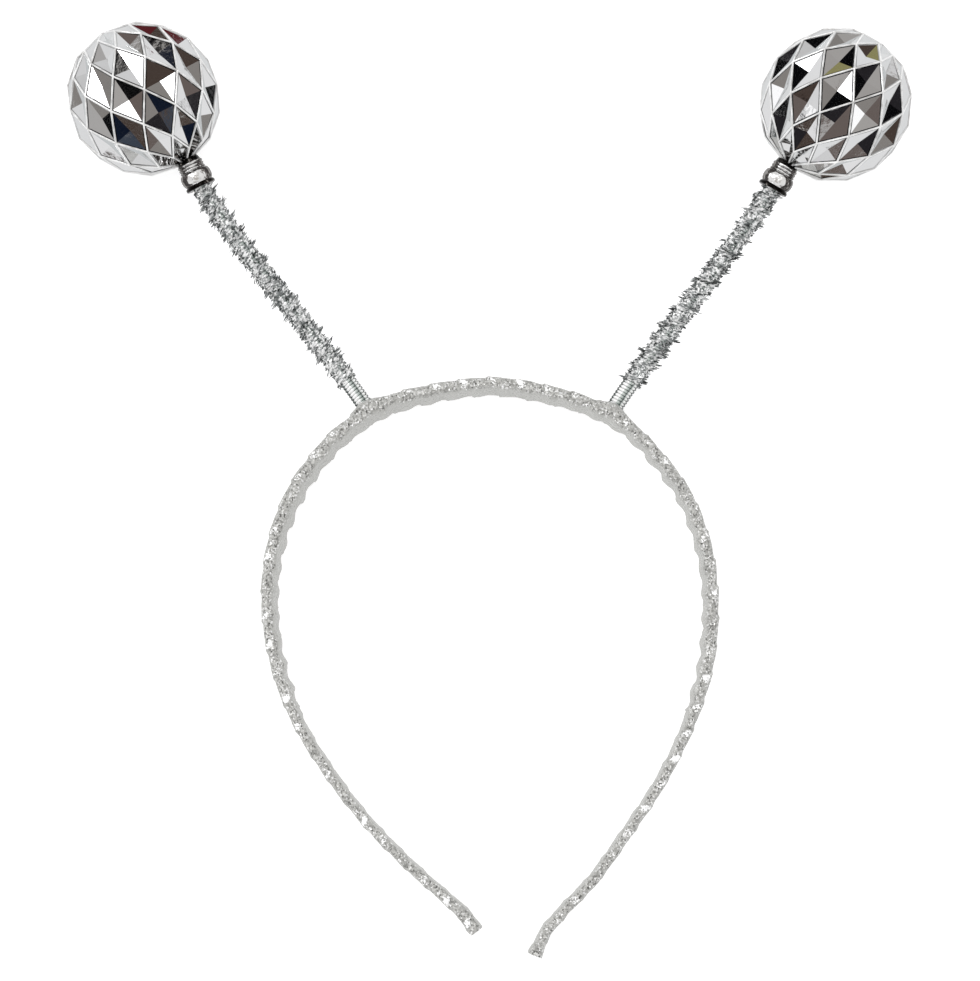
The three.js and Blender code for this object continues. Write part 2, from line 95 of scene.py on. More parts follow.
# Glints where a turn folds over the outer edge: their place and length in the turn, their width across, how
# far in from the edge they are, and how strong they are and how much that varies
FOLD_PLACE = 0.9
FOLD_LENGTH = 1.2
FOLD_WIDTH = 1.3
FOLD_INSET = 0.9
GLINT_LEVEL = 0.62
GLINT_UNEVEN = 1.15

# Spring and tinsel
SPRING_RADIUS = 2.28
WIRE_SIZE = 0.88
EXPOSED_COIL = 7.8
SPRING_INSERT = 4.3
CLEARANCE = 0.3
COIL_STEPS = 22
WIRE_SIDES = 8
TINSEL_CLUMP = 4.6
TINSEL_CLUMP_WANDER = 2
TINSEL_CLUMP_SPAN = 5
TINSEL_SLANT = -0.35
TINSEL_SLANT_SPREAD = 0.15
SHORTEST_IN_CLUMP = 0.35
SLIVER_LIFT = 0.05
LOWEST_SLIVER = 0.1

# Slivers of foil: how many a millimetre, their length and width, and how steeply they stand at least and most
Slivers = namedtuple("Slivers", "per_mm length width lowest steepest")
FLAT_SLIVERS = Slivers(44, 1.3, 0.6, 3, 12)
TALL_SLIVERS = Slivers(24, 2.5, 0.42, 22, 85)

# A sliver's cross edges from root to tip, as shares: how far out they are, how wide, and how far they curl in
Edge = namedtuple("Edge", "place width curl")
SLIVER_EDGES = (Edge(0, 1, 0), Edge(0.55, 0.95, 0), Edge(1, 0.45, 0.18))

# Cap
LIP_RADIUS = 4.1
LIP_LENGTH = 1.0
LIP_STEP = 0.4
BARREL_RADIUS = 4.2
BARREL_LENGTH = 3.8
NECK_RADIUS = 3.2
NECK_LENGTH = 2.3
NECK_RING = 0.3
NECK_RINGS = 3
NECK_INSERT = 1.0
NECK_SINK = 0.2
NECK_TRIM = 0.1
MOUTH_DEPTH = 2.2
MOUTH_FLARE = 0.15
BARREL_MARGIN = 0.3
BARREL_BULGE = 0.5
BARREL_STEPS = 12
NECK_STEPS = 24
CAP_SIDES = 96
# How far up from the mouth the lip gets the plate with painted shade
LIP_SHADE_REACH = 0.2

# The rolled lip in section: how far in from the lip's radius, and height
LIP_ROLL = ((0.3, 0), (0.08, 0.1), (0, 0.35), (0, 0.65), (0.1, 0.88), (0.3, 1.0))

# Ball
BALL_RADIUS = 20
FACET_SINK = 1.0
DIAMONDS_ROUND = 12
DIAMOND_ROWS = 8
ROW_STEP = 20.6

# Half of a rib across: distance from its middle and fall from its crest, ending in the corner beside it
RIB_PROFILE = ((0.1, 0.01), (0.17, 0.04), (0.22, 0.1), (0.24, 0.28), (0.5, 0.32))
RIB_RISE = 0.2
CAP_TO_BALL = LIP_LENGTH + BARREL_LENGTH + NECK_LENGTH + BALL_RADIUS

# Each stalk seen from above, as the CAD has it: degrees from +Y and millimetres
STALK_LIFT = 12.5
FOOT_HANDLE = 0.15
CAP_HANDLE = 0.16
Stalk = namedtuple("Stalk", "side sign reach foot_heading splay cap_heading ball_heading")
STALKS = (
    Stalk("left", -1, 71.1, 31, 37.1, 27, 33.5),
    Stalk("right", 1, 70.2, 31, 36.2, 31, 37.1),
)

# How each ball's lattice is turned, in degrees: its axis, and the turn about it
Lattice = namedtuple("Lattice", "heading lift turn")
LATTICES = {"left": Lattice(33.1, 15.4, 2.6), "right": Lattice(38.5, 10.7, 12.7)}

# Middle line of the band from the crown down each arm: across and along as shares of the band's half width
# and of its rise or drop, thick and deep as shares of its section, and its lean in degrees
Row = namedtuple("Row", "across along thick deep lean")
CROWN_ROW = Row(0, 1, 1, 1, 7)
LEFT_ROWS = (
    Row(0.134, 0.989, 1, 1, 7),
    Row(0.267, 0.967, 1, 1, 7),
    Row(0.4, 0.935, 1, 1, 8),
    Row(0.524, 0.886, 1, 1, 9),
    Row(0.626, 0.817, 1, 1, 9),
    Row(0.728, 0.728, 1, 1, 8),
    Row(0.884, 0.514, 1, 1, 7),
    Row(0.975, 0.264, 0.97, 1, 7),
    Row(0.998, 0.0, 0.95, 0.95, 6),
    Row(0.957, -0.188, 0.92, 0.88, 4),
    Row(0.862, -0.361, 0.84, 0.81, 2),
    Row(0.717, -0.521, 0.8, 0.78, 2),
    Row(0.548, -0.669, 0.8, 0.75, 1),
    Row(0.355, -0.803, 0.8, 0.72, 1),
    Row(0.25, -0.867, 0.8, 0.7, 0),
    Row(0.147, -0.928, 0.95, 0.69, 0),
    Row(0.1, -0.963, 1.05, 0.69, 0),
    Row(0.06, -1.0, 1.15, 0.69, 0),
)
RIGHT_ROWS = (
    Row(0.133, 0.989, 1, 1, 7),
    Row(0.266, 0.962, 1, 1, 6),
    Row(0.397, 0.928, 0.97, 1, 5),
    Row(0.519, 0.877, 0.93, 1, 4),
    Row(0.628, 0.808, 0.88, 1, 3),
    Row(0.724, 0.715, 0.86, 1, 2),
    Row(0.884, 0.5, 0.9, 1, 2),
    Row(0.974, 0.25, 0.93, 1, 3),
    Row(1.0, 0.0, 0.95, 0.95, 3),
    Row(0.972, -0.186, 0.92, 0.88, 3),
    Row(0.89, -0.349, 0.84, 0.81, 2),
    Row(0.766, -0.507, 0.8, 0.78, 1),
    Row(0.614, -0.652, 0.8, 0.75, 0),
    Row(0.452, -0.793, 0.8, 0.72, 0),
    Row(0.353, -0.858, 0.8, 0.7, 0),
    Row(0.26, -0.924, 0.84, 0.69, 0),
    Row(0.222, -0.965, 0.9, 0.69, 0),
    Row(0.2, -1.0, 1.2, 0.69, 0),
)


# What the mirrors see of the studio: bearing anticlockwise from +X and elevation above the floor, and half
# its width, all in degrees, with its tone. Later ones stand in front.
Thing = namedtuple("Thing", "name bearing elevation radius tone")
STUDIO_UNEVEN = 0.05
STUDIO_UNEVEN_SCALE = 9.0
FLOOR_HALF = 1500

# The tones of those things, and how many times as bright as paper they are lit
Tone = namedtuple("Tone", "colour light")
TONES = {
    "window": Tone("#FFFFFF", 3.0),
    "white": Tone("#FFFFFF", 1.2),
    "pale": Tone("#DEDEDE", 1),
    "grey": Tone("#B4B2B0", 1),
    "mid": Tone("#8C8884", 1),
    "taupe": Tone("#6C625E", 1),
    "brown": Tone("#4A3F39", 1),
    "olive": Tone("#948F62", 1),
    "maroon": Tone("#5A2428", 1),
    "slate": Tone("#3E4652", 1),
    "navy": Tone("#101828", 1),
    "charcoal": Tone("#262427", 1),
    "black": Tone("#08080A", 1),
}
STUDIO_THINGS = (
    Thing("window_upper", 167, 62, 8, "window"),
    Thing("window_middle", 158, 52, 8, "window"),
    Thing("window_lower", 148, 42, 8, "window"),
    Thing("window_rail", 169, 57, 2, "grey"),
    Thing("blind", 122, 51, 7, "black"),
    Thing("skylight", 60, 86, 8, "window"),
    Thing("white_wall", 152, 20, 14, "pale"),
    Thing("picture", 131, 30, 4, "taupe"),
    Thing("lit_door", 160, 19, 3, "white"),
    Thing("stool", 163, 13, 4.6, "charcoal"),
    Thing("side_shelf", 175, 9, 4, "mid"),
    Thing("far_box", 186, 5, 3, "mid"),
    Thing("crate", 193, 3, 4, "brown"),
    Thing("wall_left", 205, 31, 5, "grey"),
    Thing("screen_left", 205, 41, 4, "taupe"),
    Thing("screen_fold", 218, 39, 6, "taupe"),
    Thing("screen_brown", 226, 40, 4, "brown"),
    Thing("screen_gap", 229, 35, 3, "black"),
    Thing("screen_light", 227, 30, 3, "grey"),
    Thing("lamp_arm", 216, 58, 5, "taupe"),
    Thing("cabinet_left", 216, 16, 8, "charcoal"),
    Thing("skirting", 222, 4, 3, "black"),
    Thing("pale_box", 235, 20, 5, "pale"),
    Thing("bag", 230, 4, 3, "taupe"),
    Thing("shadow_corner", 262, 12, 7, "charcoal"),
    Thing("dark_drape", 282, 22, 13, "charcoal"),
    Thing("drape_front", 281, 27, 6, "navy"),
    Thing("drape_top", 270, 42, 4, "brown"),
    Thing("drape_fold", 273, 45, 2.5, "slate"),
    Thing("tripod", 294, 32, 2.5, "taupe"),
    Thing("tripod_head", 296, 28, 2.5, "grey"),
    Thing("navy_case", 295, 10, 6, "navy"),
    Thing("boom_overhead", 299, 64, 4, "taupe"),
    Thing("boom_strap", 328, 68, 3, "brown"),
    Thing("lamp_shade", 352, 68, 3, "mid"),
    Thing("bench", 334, 22, 5, "taupe"),
    Thing("bench_top", 341, 18, 4, "mid"),
    Thing("white_card", 339, 11, 3, "white"),
    Thing("side_box", 339, 5, 3, "mid"),
    Thing("low_box", 322, 5, 4, "brown"),
    Thing("low_edge", 322, 10, 2.5, "mid"),
    Thing("dark_curtain", 358, 30, 7, "charcoal"),
    Thing("curtain_edge", 350, 36, 3, "charcoal"),
    Thing("curtain_front", 13, 19, 8, "black"),
    Thing("curtain_fold", 23, 24, 3, "brown"),
    Thing("chair", 28, 16, 6, "brown"),
    Thing("chair_back", 42, 24, 5, "mid"),
    Thing("far_wall", 55, 17, 8, "pale"),
    Thing("far_rail", 58, 4, 5, "mid"),
    Thing("beam", 68, 49, 2, "black"),
    Thing("navy_screen", 89, 39, 3, "navy"),
    Thing("screen_top", 85, 33, 3, "pale"),
    Thing("dark_shelf", 109, 18, 5, "black"),
    Thing("shelf_top", 106, 26, 3, "grey"),
    Thing("books", 92, 16, 4, "maroon"),
    Thing("cloth", 93, 4, 4, "olive"),
    Thing("cloth_end", 81, 3, 4, "olive"),
    Thing("picture_foot", 131, 13, 2.5, "mid"),
    Thing("low_shelf", 103, 6, 3, "brown"),
    Thing("pale_corner", 121, 5, 7, "pale"),
    Thing("dark_hem", 22, -11, 2, "black"),
    Thing("red_hem", 60, -4, 2.2, "maroon"),
    Thing("plinth", 123, -12, 4, "black"),
    Thing("plinth_end", 134, -12, 4, "charcoal"),
    Thing("grey_block", 172, -3, 3, "mid"),
    Thing("clay_block", 195, -11, 2.5, "mid"),
    Thing("dark_block", 194, -19, 3, "black"),
    Thing("dull_block", 207, -21, 3, "mid"),
    Thing("board", 230, -3, 2.5, "brown"),
    Thing("board_end", 240, -14, 2.5, "brown"),
    Thing("low_case", 258, -5, 3, "brown"),
    Thing("low_case_end", 274, -1, 3, "taupe"),
    Thing("crate_end", 293, -6, 4, "brown"),
    Thing("table_foot", 322, -9, 4, "taupe"),
    Thing("table_leg", 337, -1, 3, "mid"),
)


# Camera

def add_camera():
    camera = bpy.data.objects.new("camera", bpy.data.cameras.new("camera"))
    bpy.context.scene.collection.objects.link(camera)
    camera.data.sensor_fit = "HORIZONTAL"
    camera.data.angle = math.radians(CAMERA_ANGLE)
    elevation = math.radians(CAMERA_ELEVATION)
    backward = Vector((0, -math.cos(elevation), math.sin(elevation)))
    camera.location = (CAMERA_TARGET + backward * CAMERA_DISTANCE) * MM
    camera.rotation_euler = (-backward).to_track_quat("-Z", "Y").to_euler()
    bpy.context.scene.camera = camera


# Materials

def linear(colour):
    """A colour written as sRGB hex, as the linear red, green, blue and alpha that shaders take."""
    channels = [int(colour[i:i + 2], 16) / 255 for i in (1, 3, 5)]
    return [c / 12.92 if c <= 0.04045 else ((c + 0.055) / 1.055) ** 2.4 for c in channels] + [1.0]


def add_node(tree, kind, settings=None, inputs=None, stops=()):
    """Adds a node with its settings, its inputs as values or links, and the stops of its colour ramp."""
    made = tree.nodes.new(kind)
    for name, value in (settings or {}).items():
        setattr(made, name, value)
    for name, value in (inputs or {}).items():
        if isinstance(value, bpy.types.NodeSocket):
            tree.links.new(value, made.inputs[name])
        else:
            made.inputs[name].default_value = value
    for i, (place, colour) in enumerate(stops):
        elements = made.color_ramp.elements
        element = elements[i] if i < len(elements) else elements.new(place)
        element.position = place
        element.color = linear(colour)
    return made


def new_material(name):
    made = bpy.data.materials.new(name)
    made.use_nodes = True
    made.node_tree.nodes.clear()
    return made, made.node_tree


def surface(tree, **inputs):
    """Ends a material in one principled shader with these inputs."""
    named = {name.replace("_", " "): value for name, value in inputs.items()}
    shader = add_node(tree, "ShaderNodeBsdfPrincipled", inputs=named)
    add_node(tree, "ShaderNodeOutputMaterial", inputs={"Surface": shader.outputs[0]})


def per_mm(size):
    """Texture scale on metre coordinates that gives features of this many millimetres."""
    return 1 / (size * MM)


def lame_ribbon():
    """Woven lamé ribbon with glitter: a soft grey cloth on the walls, and flat metallised threads on top
    whose sparkle is painted into the colour as dark and white flakes, with painted white glints where each
    turn folds over the outer edge."""
    made, tree = new_material("woven_silver_lame_ribbon")
    place = add_node(tree, "ShaderNodeTexCoord").outputs["Object"]
    facing = add_node(tree, "ShaderNodeNewGeometry").outputs["Normal"]
    height = add_node(tree, "ShaderNodeSeparateXYZ", inputs={0: facing})
    on_top = add_node(tree, "ShaderNodeMapRange", inputs={
        "Value": height.outputs[2], "From Min": 0.3, "From Max": 0.9, "To Min": 0.04, "To Max": 1.0})
    glint = add_node(tree, "ShaderNodeAttribute", {"attribute_name": "glint"}).outputs["Fac"]
    flakes = add_node(tree, "ShaderNodeTexVoronoi", inputs={"Vector": place, "Scale": per_mm(0.4)})
    parts = add_node(tree, "ShaderNodeSeparateColor", inputs={0: flakes.outputs["Color"]})
    own = add_node(tree, "ShaderNodeVectorMath", {"operation": "MULTIPLY_ADD"}, {
        0: flakes.outputs["Color"], 1: (1.0, 1.0, 1.0), 2: (-0.5, -0.5, -0.5)})
    tilt = add_node(tree, "ShaderNodeVectorMath", {"operation": "SCALE"}, {
        0: own.outputs[0], "Scale": on_top.outputs[0]})
    tilted = add_node(tree, "ShaderNodeVectorMath", {"operation": "ADD"}, {0: facing, 1: tilt.outputs[0]})
    flake_normal = add_node(tree, "ShaderNodeVectorMath", {"operation": "NORMALIZE"}, {0: tilted.outputs[0]})
    weave = add_node(tree, "ShaderNodeTexNoise", inputs={
        "Vector": place, "Scale": per_mm(0.5), "Detail": 3.0, "Roughness": 0.7})
    grain = add_node(tree, "ShaderNodeBump", inputs={
        "Strength": 0.35, "Distance": 0.06 * MM, "Height": weave.outputs[0],
        "Normal": flake_normal.outputs[0]})
    # Painted sparkle on faces that look up: each flake gets its own tone, from dark specks to white, for what
    # it reflects
    sparkle = add_node(tree, "ShaderNodeValToRGB", {}, {0: parts.outputs[1]}, stops=(
        (0.0, "#666663"), (0.08, "#999996"), (0.35, "#BABAB7"), (0.84, "#D0D0CD"), (0.92, "#FFFFFF")))
    cloth = add_node(tree, "ShaderNodeMix", {"data_type": "RGBA"}, {
        0: on_top.outputs[0], 6: linear("#B1B1AE"), 7: sparkle.outputs[0]})
    # Painted white glints where a turn folds over the outer edge, on faces that look up
    folded = add_node(tree, "ShaderNodeMath", {"operation": "MULTIPLY"}, {0: glint, 1: on_top.outputs[0]})
    speckled = add_node(tree, "ShaderNodeMath", {"operation": "MULTIPLY_ADD"}, {
        0: parts.outputs[2], 1: 0.8, 2: folded.outputs[0]})
    glinting = add_node(tree, "ShaderNodeMath", {"operation": "GREATER_THAN"}, {
        0: speckled.outputs[0], 1: 1.0})
    lit = add_node(tree, "ShaderNodeMix", {"data_type": "RGBA"}, {
        0: glinting.outputs[0], 6: cloth.outputs[2], 7: linear("#FFFFFF")})
    metal = add_node(tree, "ShaderNodeMapRange", inputs={
        "Value": on_top.outputs[0], "To Min": 0.1, "To Max": 0.4})
    metal_here = add_node(tree, "ShaderNodeMath", {"operation": "SUBTRACT", "use_clamp": True}, {
        0: metal.outputs[0], 1: glinting.outputs[0]})
    rough = add_node(tree, "ShaderNodeMapRange", inputs={
        "Value": parts.outputs[2], "To Min": 0.2, "To Max": 0.6})
    surface(tree, Base_Color=lit.outputs[2], Metallic=metal_here.outputs[0], Roughness=rough.outputs[0],
            Normal=grain.outputs[0])
    return made


def spring_wire():
    """Drawn steel wire with bright nickel plate. Its colour carries painted reflections: the window and the
    skylight run along the whole coil as a wide and a narrow painted bright stripe with a dark line between
    them, and each turn has painted shade in its grooves."""
    made, tree = new_material("drawn_nickel_plated_wire")
    place = add_node(tree, "ShaderNodeTexCoord").outputs["Object"]
    marks = add_node(tree, "ShaderNodeTexNoise", inputs={
        "Vector": place, "Scale": per_mm(0.6), "Detail": 4.0})
    relief = add_node(tree, "ShaderNodeBump", inputs={
        "Strength": 0.25, "Distance": 0.02 * MM, "Height": marks.outputs[0]})
    rough = add_node(tree, "ShaderNodeMapRange", inputs={
        "Value": marks.outputs[0], "To Min": 0.1, "To Max": 0.3})
    # Painted reflection across the coil: bright stripes, a dark line and darker edges, placed by how far left
    # round the stalk each point lies
    leftward = add_node(tree, "ShaderNodeAttribute", {"attribute_name": "leftward"}).outputs["Fac"]
    uneven = add_node(tree, "ShaderNodeMath", {"operation": "MULTIPLY_ADD"}, {
        0: marks.outputs[0], 1: 0.12, 2: leftward})
    sheen = add_node(tree, "ShaderNodeValToRGB", {}, {0: uneven.outputs[0]}, stops=(
        (0.08, "#7E8A86"), (0.2, "#FFFFFF"), (0.3, "#F0F4F2"), (0.37, "#56625E"), (0.45, "#B4BCB8"),
        (0.6, "#DCE2DF"), (0.66, "#FFFFFF"), (0.9, "#FFFFFF"), (0.98, "#6E7A76")))
    # Painted shade in each turn's grooves, where the wire turns away from the eye, weaker in the bright
    # stripes
    grooves = add_node(tree, "ShaderNodeValToRGB", {}, {0: slant(tree)}, stops=(
        (0.3, "#FFFFFF"), (0.7, "#36423E")))
    level = add_node(tree, "ShaderNodeSeparateColor", inputs={0: sheen.outputs[0]})
    depth = add_node(tree, "ShaderNodeMapRange", inputs={
        "Value": level.outputs[0], "From Min": 0.5, "From Max": 1.0, "To Min": 1.0, "To Max": 0.3})
    tone = add_node(tree, "ShaderNodeMix", {"data_type": "RGBA", "blend_type": "MULTIPLY"}, {
        0: depth.outputs[0], 6: sheen.outputs[0], 7: grooves.outputs[0]})
    surface(tree, Base_Color=tone.outputs[2], Metallic=0.25, Roughness=rough.outputs[0],
            Normal=relief.outputs[0])
    return made


def tufted(tree, tones):
    """A painted reflection tone for each sliver of film, where slivers close together tend to look alike."""
    own = add_node(tree, "ShaderNodeNewGeometry").outputs["Random Per Island"]
    place = add_node(tree, "ShaderNodeTexCoord").outputs["Object"]
    tufts = add_node(tree, "ShaderNodeTexNoise", inputs={"Vector": place, "Scale": per_mm(3.0)})
    mixed = add_node(tree, "ShaderNodeMix", inputs={0: 0.6, 2: own, 3: tufts.outputs[0]})
    return add_node(tree, "ShaderNodeValToRGB", {}, {0: mixed.outputs[0]}, stops=tones).outputs[0]


def slit_foil():
    """Slit metallised film that stands out of the winding: every sliver shows another part of the room, so
    each gets its own tone as a painted reflection, and most are painted dark against the light."""
    made, tree = new_material("slit_metallised_film")
    own = add_node(tree, "ShaderNodeNewGeometry").outputs["Random Per Island"]
    rough = add_node(tree, "ShaderNodeMapRange", inputs={"Value": own, "To Min": 0.3, "To Max": 0.12})
    surface(tree, Metallic=0.4, Roughness=rough.outputs[0], Base_Color=tufted(tree, (
        (0.25, "#141515"), (0.38, "#4A4D4D"), (0.5, "#848888"), (0.6, "#B4B7B7"), (0.72, "#FFFFFF"))))
    return made


def flat_foil():
    """The same film where it lies flat on the spring and faces the light, painted bright as its lit copy:
    white gaps between grey tufts.
    """
    made, tree = new_material("flattened_metallised_film")
    surface(tree, Metallic=0.15, Roughness=0.25, Base_Color=tufted(tree, (
        (0.3, "#6E7272"), (0.43, "#A4A8A8"), (0.5, "#FFFFFF"))))
    return made


def slant(tree, **normal):
    """How far a surface is turned away from the eye: 0 where it is square on, 1 along its edge."""
    return add_node(tree, "ShaderNodeLayerWeight", inputs={"Blend": 0.5, **normal}).outputs["Facing"]


def drawn_chrome():
    """Thin drawn metal with nickel plate: painted reflections, where the room stretches along a round mirror
    in bright and dark bands by how far the surface turns from the eye, and dents and crimps from assembly
    bend them."""
    made, tree = new_material("chrome_plated_drawn_cap")
    place = add_node(tree, "ShaderNodeTexCoord").outputs["Object"]
    dents = add_node(tree, "ShaderNodeTexNoise", inputs={
        "Vector": place, "Scale": per_mm(2.2), "Detail": 2.0})
    relief = add_node(tree, "ShaderNodeBump", inputs={
        "Strength": 1.0, "Distance": 0.7 * MM, "Height": dents.outputs[0]})
    bands = add_node(tree, "ShaderNodeValToRGB", {}, {0: slant(tree, Normal=relief.outputs[0])}, stops=(
        (0.0, "#C9C5C1"), (0.03, "#FFFFFF"), (0.15, "#FFFFFF"), (0.2, "#8A8683"), (0.28, "#3A3635"),
        (0.42, "#1E1B1A"), (0.6, "#9A9693"), (0.75, "#2A2625")))
    rough = add_node(tree, "ShaderNodeMapRange", inputs={
        "Value": dents.outputs[0], "To Min": 0.05, "To Max": 0.16})
    surface(tree, Base_Color=bands.outputs[0], Metallic=0.5, Roughness=rough.outputs[0],
            Normal=relief.outputs[0])
    return made


def crest_painted_highlight():
    """Rounded crests of the ribs with a painted highlight: the metal there is satin, mixed in patches with
    bright white, and shows as a pale line.
    """
    made, tree = new_material("metallised_plastic_painted_highlight")
    place = add_node(tree, "ShaderNodeTexCoord").outputs["Object"]
    metal_patches = add_node(tree, "ShaderNodeTexNoise", inputs={
        "Vector": place, "Scale": per_mm(2.5), "Detail": 4.0})
    # Less metal in patches lets more of the bright white show: the painted highlight
    metal = add_node(tree, "ShaderNodeMapRange", inputs={
        "Value": metal_patches.outputs[0], "From Min": 0.4, "From Max": 0.65, "To Min": 0.25, "To Max": 0.85})
    surface(tree, Base_Color=linear("#F6F6F6"), Metallic=metal.outputs[0], Roughness=0.28)
    return made


def rib_painted_shadow():
    """Corners beside the ribs, painted as a thin dark shadow line along each rib, dark in patches and painted
    pale where the surface turns away from the eye.
    """
    made, tree = new_material("metal_with_painted_rib_shadow")
    place = add_node(tree, "ShaderNodeTexCoord").outputs["Object"]
    patches = add_node(tree, "ShaderNodeTexNoise", inputs={
        "Vector": place, "Scale": per_mm(3.0), "Detail": 3.0})
    tone = add_node(tree, "ShaderNodeValToRGB", {}, {0: patches.outputs[0]}, stops=(
        (0.54, "#0E0F11"), (0.62, "#4C4E51"), (0.7, "#B8B9BB")))
    turned = add_node(tree, "ShaderNodeMapRange", inputs={
        "Value": slant(tree), "From Min": 0.25, "From Max": 0.5})
    # Painted shadow line, painted pale where the surface turns away from the eye
    painted_line_tone = add_node(tree, "ShaderNodeMix", {"data_type": "RGBA"}, {
        0: turned.outputs[0], 6: tone.outputs[0], 7: linear("#DCDDDE")})
    surface(tree, Base_Color=painted_line_tone.outputs[2], Metallic=1.0, Roughness=0.3)
    return made


def plate_painted_shade():
    """Plate painted dark as shade at the crimped lip and in the neck's grooves: black lines with a few bright
    flecks."""
    made, tree = new_material("nickel_plate_painted_shade")
    place = add_node(tree, "ShaderNodeTexCoord").outputs["Object"]
    flecks = add_node(tree, "ShaderNodeTexNoise", inputs={
        "Vector": place, "Scale": per_mm(1.2), "Detail": 5.0})
    tone = add_node(tree, "ShaderNodeValToRGB", {}, {0: flecks.outputs[0]}, stops=(
        (0.54, "#151312"), (0.62, "#4A4542"), (0.68, "#E8E4DF")))
    relief = add_node(tree, "ShaderNodeBump", inputs={
        "Strength": 0.7, "Distance": 0.1 * MM, "Height": flecks.outputs[0]})
    surface(tree, Base_Color=tone.outputs[0], Metallic=1.0, Roughness=0.2, Normal=relief.outputs[0])
    return made


def metallised_plastic():
    """Vacuum metallised moulded plastic: a mirror with a faint ripple from the mould under it."""
    made, tree = new_material("vacuum_metallised_plastic")
    place = add_node(tree, "ShaderNodeTexCoord").outputs["Object"]
    ripple = add_node(tree, "ShaderNodeTexNoise", inputs={
        "Vector": place, "Scale": per_mm(3.5), "Detail": 3.0})
    relief = add_node(tree, "ShaderNodeBump", inputs={
        "Strength": 0.35, "Distance": 0.06 * MM, "Height": ripple.outputs[0]})
    haze = add_node(tree, "ShaderNodeTexNoise", inputs={
        "Vector": place, "Scale": per_mm(9.0), "Detail": 2.0})
    rough = add_node(tree, "ShaderNodeMapRange", inputs={
        "Value": haze.outputs[0], "To Min": 0.02, "To Max": 0.08})
    # The coat's own pale tone, with painted shade that dims it where the surface turns away from the eye
    coat_and_rim_shade = add_node(tree, "ShaderNodeValToRGB", {}, {0: slant(tree)}, stops=(
        (0.3, "#E9E9EA"), (0.65, "#DCDEDF")))
    surface(tree, Base_Color=coat_and_rim_shade.outputs[0], Metallic=1.0, Roughness=rough.outputs[0],
            Normal=relief.outputs[0])
    return made


def lit_acrylic():
    """White acrylic sheet with a matt face, lit from below, so that it washes the shadows out."""
    made, tree = new_material("cast_white_acrylic")
    place = add_node(tree, "ShaderNodeTexCoord").outputs["Object"]
    grain = add_node(tree, "ShaderNodeTexNoise", inputs={"Vector": place, "Scale": per_mm(4.0)})
    rough = add_node(tree, "ShaderNodeMapRange", inputs={
        "Value": grain.outputs[0], "To Min": 0.85, "To Max": 0.95})
    surface(tree, Base_Color=linear("#F7F7F7"), Roughness=rough.outputs[0],
            Emission_Color=linear("#FFFFFF"), Emission_Strength=0.4)
    return made


# Meshes

def add_piece(name, material, points, faces, smooth=True):
    """A piece from points in millimetres."""
    mesh = bpy.data.meshes.new(name)
    mesh.from_pydata([(point + PACKED_SHIFT) * MM for point in points], [], faces)
    mesh.polygons.foreach_set("use_smooth", [smooth] * len(mesh.polygons))
    mesh.materials.append(material)
    piece = bpy.data.objects.new(name, mesh)
    bpy.context.scene.collection.objects.link(piece)
    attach(piece, "root")
    return piece


def ring_faces(rings, sides, closed_ends=False):
    """Faces between rings of points that follow each other, with a fan at each end if it is closed."""
    faces = []
    for r in range(rings - 1):
        for k in range(sides):
            after = (k + 1) % sides
            faces.append((r * sides + k, r * sides + after, (r + 1) * sides + after, (r + 1) * sides + k))
    if closed_ends:
        faces.append(tuple(range(sides - 1, -1, -1)))
        faces.append(tuple(range((rings - 1) * sides, rings * sides)))
    return faces


# Headband

def band_rows():
    """The band's rows from its left tip to its right tip, as places and sections."""
    rows = []
    for row, sign, drop in (
        *((row, -1, LEFT_ARM_DROP) for row in reversed(LEFT_ROWS)),
        (CROWN_ROW, 1, RIGHT_ARM_DROP),
        *((row, 1, RIGHT_ARM_DROP) for row in RIGHT_ROWS),
    ):
        rise = CROWN_RISE if row.along > 0 else drop
        place = Vector((sign * row.across * BAND_HALF_WIDTH, row.along * rise, 0))
        rows.append((place, row.thick * BAND_THICKNESS, row.deep * BAND_DEPTH, math.radians(row.lean)))
    return rows


def spline_point(places, t):
    """Centripetal spline through places, at a place number with a fraction."""
    i = min(int(t), len(places) - 2)
    w = t - i
    p1, p2 = places[i], places[i + 1]
    p0 = places[i - 1] if i > 0 else 2 * p1 - p2
    p3 = places[i + 2] if i + 2 < len(places) else 2 * p2 - p1
    d0, d1, d2 = ((b - a).length ** 0.5 for a, b in ((p0, p1), (p1, p2), (p2, p3)))
    m1 = ((p1 - p0) / d0 - (p2 - p0) / (d0 + d1) + (p2 - p1) / d1) * d1
    m2 = ((p2 - p1) / d1 - (p3 - p1) / (d1 + d2) + (p3 - p2) / d2) * d1
    cubic = 2 * p1 - 2 * p2 + m1 + m2
    square = 3 * p2 - 3 * p1 - 2 * m1 - m2
    return ((cubic * w + square) * w + m1) * w + p1


BandPlace = namedtuple("BandPlace", "point outward thickness depth lean")


class Band:
    """Middle line of the band, measured from its left tip."""

    STEPS = 60

    def __init__(self):
        self.rows = band_rows()
        places = [row[0] for row in self.rows]
        count = (len(places) - 1) * self.STEPS
        self.points = [spline_point(places, i / self.STEPS) for i in range(count + 1)]
        self.arcs = [0.0]
        for a, b in zip(self.points, self.points[1:]):
            self.arcs.append(self.arcs[-1] + (b - a).length)
        self.length = self.arcs[-1]
        self.crown = self.arcs[len(LEFT_ROWS) * self.STEPS]

    def at(self, arc):
        arc = min(max(arc, 0), self.length)
        i = min(max(bisect.bisect_right(self.arcs, arc) - 1, 0), len(self.arcs) - 2)
        share = (arc - self.arcs[i]) / (self.arcs[i + 1] - self.arcs[i])
        tangent = (self.points[i + 1] - self.points[i]).normalized()
        t = (i + share) / self.STEPS
        first = min(int(t), len(self.rows) - 2)
        mix = t - first
        sizes = [a + (b - a) * mix for a, b in zip(self.rows[first][1:], self.rows[first + 1][1:])]
        return BandPlace(
            self.points[i].lerp(self.points[i + 1], share), Vector((-tangent.y, tangent.x, 0)), *sizes)


band = Band()


